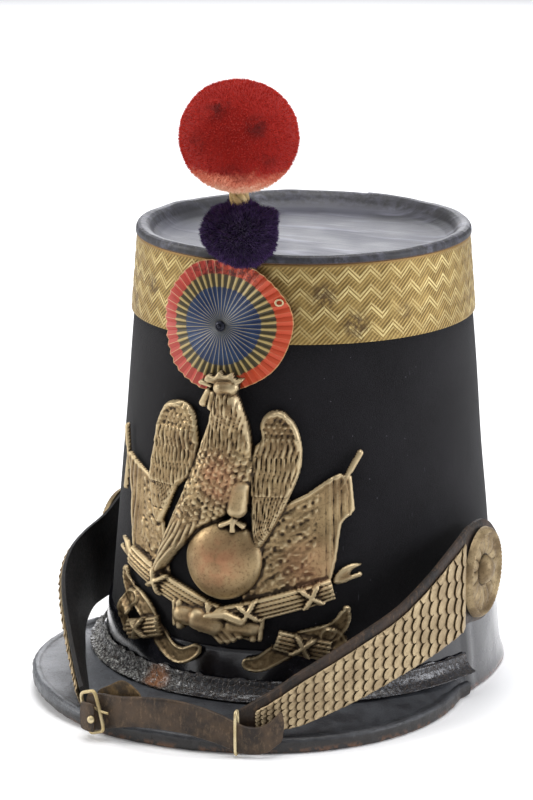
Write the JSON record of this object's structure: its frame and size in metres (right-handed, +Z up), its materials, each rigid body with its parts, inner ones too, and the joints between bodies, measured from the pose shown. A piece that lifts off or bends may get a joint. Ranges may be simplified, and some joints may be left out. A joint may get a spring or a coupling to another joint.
{
  "type": "shako hat",
  "caption": "Tall black felt military cap with leather visor, stamped brass front plate, round cockade, wool pompoms, gold top band and a brass scale chin strap fastened over the visor.",
  "frame": {"origin": "on the surface that the cap stands on, under the middle of its overall box", "axes": "+Z up through the crown, -Y forwards over the visor, +X towards the wearer's left"},
  "size_m": [0.206, 0.2518, 0.283],
  "materials": {
    "black_felt": "dense matte black wool felt with faint pale specks",
    "crown_leather": "black leather with a soft lavender-grey sheen, scuffed at the rim",
    "gold_lace": "woven metallic gold lace in chevron rows, worn and tarnished in patches",
    "patent_leather": "smooth glossy black lacquered leather with cool reflections",
    "visor_leather": "satin black leather, scuffed, with cracked lacquer along the joint and edge",
    "stamped_brass": "aged stamped brass, dark in the recesses, copper-pink on the high parts",
    "cockade_paint": "pleated sheet painted orange-red, gold and steel blue in rings",
    "dark_iron": "dark blackened iron",
    "brass_wire": "dull pale brass wire",
    "purple_wool": "dense clipped dark purple wool",
    "red_wool": "dense clipped red wool, maroon in patches and pale salmon underneath",
    "strap_leather": "dark brown leather with worn edges",
    "scale_brass": "weathered pale brass, gold on the raised edges",
    "tie_leather": "smooth brown leather with lighter scuffs and dark edges",
    "tan_leather": "rough olive-tan leather"
  },
  "bodies": {
    "root": {"crown_body": "black_felt", "crown_top": "crown_leather", "gold_band": "gold_lace", "base_band": "patent_leather", "peak": "visor_leather", "peak_welt": "visor_leather", "plate": "stamped_brass", "cockade": "cockade_paint", "cockade_rivet": "dark_iron", "cockade_eyelet": "brass_wire", "pompom_stem": "brass_wire", "pompom_lower": "purple_wool", "pompom_upper": "red_wool", "strap_back_left": "strap_leather", "strap_back_right": "strap_leather", "scales_left": "scale_brass", "scales_right": "scale_brass", "boss_left": "scale_brass", "boss_right": "scale_brass", "tie_strap": "tie_leather", "strap_tongue": "tan_leather", "buckle": "brass_wire", "buckle_loop": "tie_leather", "loop_rivet": "brass_wire", "strap_keeper": "brass_wire"}
  },
  "joints": []
}
